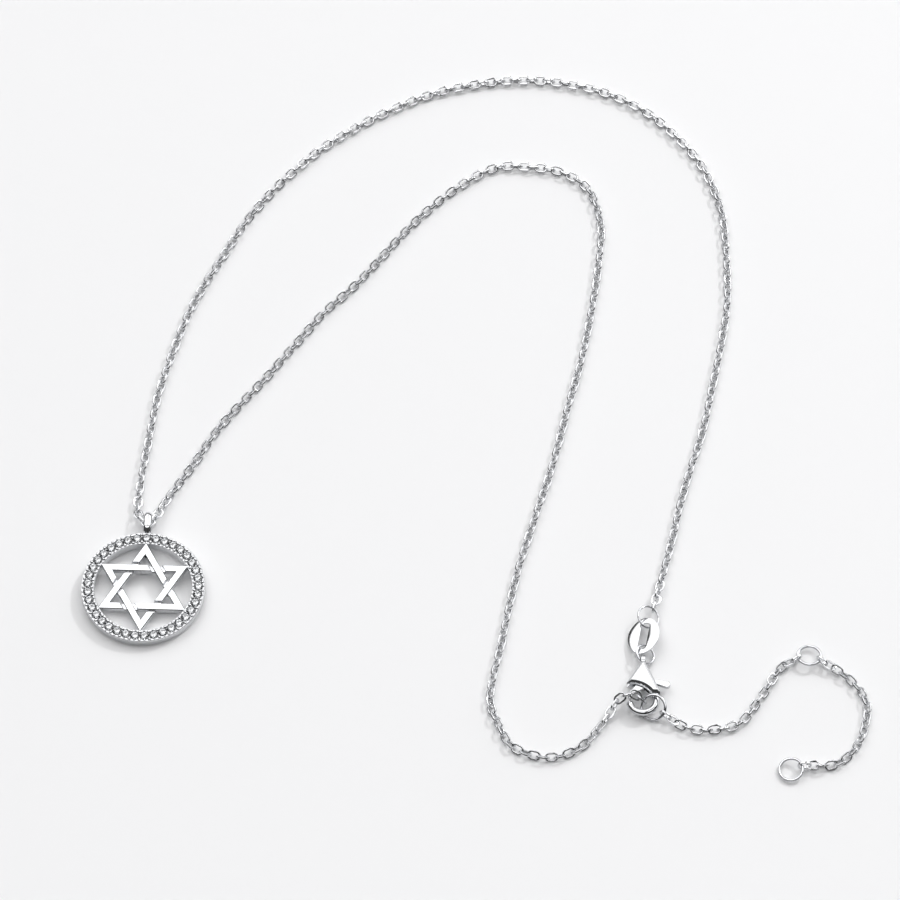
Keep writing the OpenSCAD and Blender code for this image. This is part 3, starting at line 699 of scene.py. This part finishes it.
# The routes' points, as in the part: round places on the table, in millimetres
outer_xy = [(-44, -17.5, 1.25), (-44.5, -15), (-44, -9.5), (-43, -2), (-42, 4), (-38.5, 16), (-34, 25.5),
            (-30.5, 32), (-26, 38), (-20, 44), (-12, 49.5), (-4.5, 53), (2, 54.5), (7, 55),
            (12.5, 54.5), (18, 53), (23.5, 50), (28.5, 45), (32, 39.5), (34, 33), (34.5, 27),
            (34.5, 18), (33.5, 11), (32, 3.5), (30.5, -3.5), (28, -12), (26, -20.5), (24.5, -26.5)]
inner_xy = [(-42, -17.2, 1.25), (-40.5, -14), (-37, -8), (-33.5, -2), (-28.5, 4.5), (-24.5, 10),
            (-20.5, 15.5), (-15.5, 21), (-11, 27), (-6.5, 32.5), (-1, 37.5), (3.5, 40), (8, 40),
            (12.5, 39), (16, 36), (17.5, 30), (17, 23), (16, 16), (14.5, 8), (12.5, 0),
            (10.5, -8.5), (8, -17), (5.5, -26), (3.5, -36), (2, -44), (3, -48), (5, -51.5),
            (9.5, -53), (13.5, -51.5), (16.5, -48)]
hook_xyz = [(-3.4, -0.5, 0.35), (-2.4, 0.1, 0.95), (-1.3, 0.4, 0.95), (-0.2, 0.1, 0.3)]
near_xy = [(27, -48.5), (30, -49), (34, -48), (37, -44), (39.5, -40)]
far_xy = [(48.5, -41.5), (50.5, -45), (50, -49), (48.5, -52), (46, -54)]


def on_table(places):
    """Places as points. One without a height of its own is in the middle of the lying chain."""
    return [Vector((p[0], p[1], p[2] if len(p) > 2 else chain_z)) for p in places]


class Route:
    """A smooth curve through points, one cubic for each span, measured along its length."""
    fine, look = 10, 0.3

    def __init__(self, points):
        self.points = points
        self.marks = [self.at_u(k / self.fine) for k in range((len(points) - 1) * self.fine + 1)]
        self.sums = [0.0]
        for a, b in zip(self.marks, self.marks[1:]):
            self.sums.append(self.sums[-1] + (b - a).length)
        self.whole = self.sums[-1]

    def at_u(self, u):
        """The point at a place counted in spans."""
        r = self.points
        i = min(int(math.floor(u)), len(r) - 2)
        a = r[i - 1] if i > 0 else 2 * r[0] - r[1]
        b, c = r[i], r[i + 1]
        d = r[i + 2] if i < len(r) - 2 else 2 * r[i + 1] - r[i]
        t = u - i
        return (2 * b + (c - a) * t + (2 * a - 5 * b + 4 * c - d) * t * t
                + (3 * b - a - 3 * c + d) * t ** 3) / 2

    def at(self, s):
        """The point at a length along the curve."""
        s = min(max(s, 0.0), self.whole)
        low = 0
        high = len(self.sums) - 1
        while high - low > 1:
            middle = (low + high) // 2
            if self.sums[middle] <= s:
                low = middle
            else:
                high = middle
        span = self.sums[high] - self.sums[low]
        return self.at_u((low + (s - self.sums[low]) / span) / self.fine)

    def way(self, s):
        """The direction at a length along the curve."""
        return (self.at(min(s + self.look, self.whole)) - self.at(max(s - self.look, 0))).normalized()


def hang(wire):
    """From the middle of a ring's wire to the middle of the link that hangs on it."""
    return link_l / 2 - wire_d - wire / 2 - link_gap


# One link: two round ends with straight sides between. A press below 1 makes the wire's section squarer.
link_parts, wire_parts, press = 24, 14, 0.4
end_r = (link_w - wire_d) / 2
link_rows = []
for i in range(link_parts):
    a = 2 * math.pi * (i + 0.5) / link_parts
    out = Vector((math.cos(a), math.sin(a), 0))
    middle = Vector((math.copysign((link_l - link_w) / 2, out.x), 0, 0)) + end_r * out
    row = []
    for j in range(wire_parts):
        b = 2 * math.pi * (j + 0.5) / wire_parts
        wide, high = (math.copysign(abs(c) ** press, c) for c in (math.cos(b), math.sin(b)))
        row.append(middle + wire_d / 2 * (wide * out + Vector((0, 0, high))))
    link_rows.append(row)


def add_link(shape, route, s, roll, drop=0.0):
    """One link at a length along a route, rolled about it in degrees."""
    ahead = route.way(s)
    side = Vector((0, 0, 1)).cross(ahead).normalized()
    up = ahead.cross(side)
    y = math.cos(math.radians(roll)) * side + math.sin(math.radians(roll)) * up
    z = ahead.cross(y)
    lie = Matrix((ahead, y, z)).transposed()
    middle = route.at(s) - Vector((0, 0, drop))
    shape.skin([[lie @ p + middle for p in row] for row in link_rows])


fit_slack, flat_drop = 0.01, 0.05
bend_from, bend_over = 32, 10
wobble, wobble_step = 9, 131


def add_run(shape, route, start, end, settled, twist, bend_twist):
    """An odd number of links, each turned a quarter from the last. Both end links stand on edge on what they
    hold. As many links from them as settled says, the chain has rolled over by its twist, or by the bend's
    twist at the top of the bow. Each link is a few degrees off."""
    spans = 2 * math.ceil((end - start) / link_pitch / 2 - fit_slack)
    for i in range(spans + 1):
        on_edge = (i + 1) % 2
        s = start + i * (end - start) / spans
        in_bend = min(max((route.at(s).y - bend_from) / bend_over, 0), 1)
        turn = min(i, spans - i, settled) / settled * (twist + (bend_twist - twist) * in_bend)
        lower = end_r * (1 - max(math.cos(math.radians(turn)), math.sin(math.radians(turn))))
        roll = 90 * on_edge - turn + wobble * math.sin(math.radians(wobble_step * i))
        add_link(shape, route, s, roll, lower + (0 if on_edge else flat_drop))


def chain_piece(name, node, shape):
    """Makes one length of chain from its links."""
    piece = shape.made(name, [chain_wire])
    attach(piece, "necklace")
    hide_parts(node)


# The closed loop runs from the tag ring round to the bail, and from there round to the closing ring
bail_slack, bail_sag = 0.35, 0.15
bail_pass = (pendant_turn @ Vector((0, bail_far + bail_ri - link_w / 2 - bail_slack, ring_t / 2)) + pendant_at
             - Vector((0, 0, bail_sag)))
loop = Route([on_ring(tag_ring_at, tag_ring_turn, tag_ring_m, tag_ring_high)]
             + list(reversed(on_table(outer_xy))) + [bail_pass] + on_table(inner_xy)
             + [on_clasp(*place) for place in hook_xyz] + [on_ring(closing_at, closing_turn, closing_m, 180)])
bail_s = loop.sums[(len(outer_xy) + 1) * loop.fine]

outer_chain = Shape()
add_run(outer_chain, loop, hang(small_wire), bail_s - bail_step, settled=6, twist=45, bend_twist=22)
chain_piece("chain_outer_links", "chain_outer", outer_chain)

# The last links lie one by one over the hook. Their rolls, counted from the closing ring, are in degrees.
hook_rolls = (-50, 25, -60, 15)
hook_last = loop.whole - hang(ext_wire)
hook_first = hook_last - len(hook_rolls) * hook_step
inner_chain = Shape()
add_link(inner_chain, loop, bail_s, 0)
add_run(inner_chain, loop, bail_s + bail_step, hook_first, settled=6, twist=45, bend_twist=68)
for i, roll in enumerate(hook_rolls):
    add_link(inner_chain, loop, hook_last - i * hook_step, roll)
chain_piece("chain_inner_links", "chain_inner", inner_chain)

# The extender hangs on the closing ring's far side, in two lengths with a ring between. Its rings are held at
# these places round them, in degrees.
mid_near, mid_far, end_near = 192, -25, 17
near = Route([on_ring(closing_at, closing_turn, closing_m, 0)] + on_table(near_xy)
             + [on_ring(mid_at, mid_turn, ext_ring_m, mid_near)])
near_chain = Shape()
add_run(near_chain, near, hang(ext_wire), near.whole - hang(ext_wire), settled=3, twist=62, bend_twist=62)
chain_piece("extender_chain_near_links", "extender_chain_near", near_chain)

far = Route([on_ring(mid_at, mid_turn, ext_ring_m, mid_far)] + on_table(far_xy)
            + [on_ring(end_at, end_turn, ext_ring_m, end_near)])
far_chain = Shape()
add_run(far_chain, far, hang(ext_wire), far.whole - hang(ext_wire), settled=3, twist=45, bend_twist=45)
chain_piece("extender_chain_far_links", "extender_chain_far", far_chain)

low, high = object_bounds()
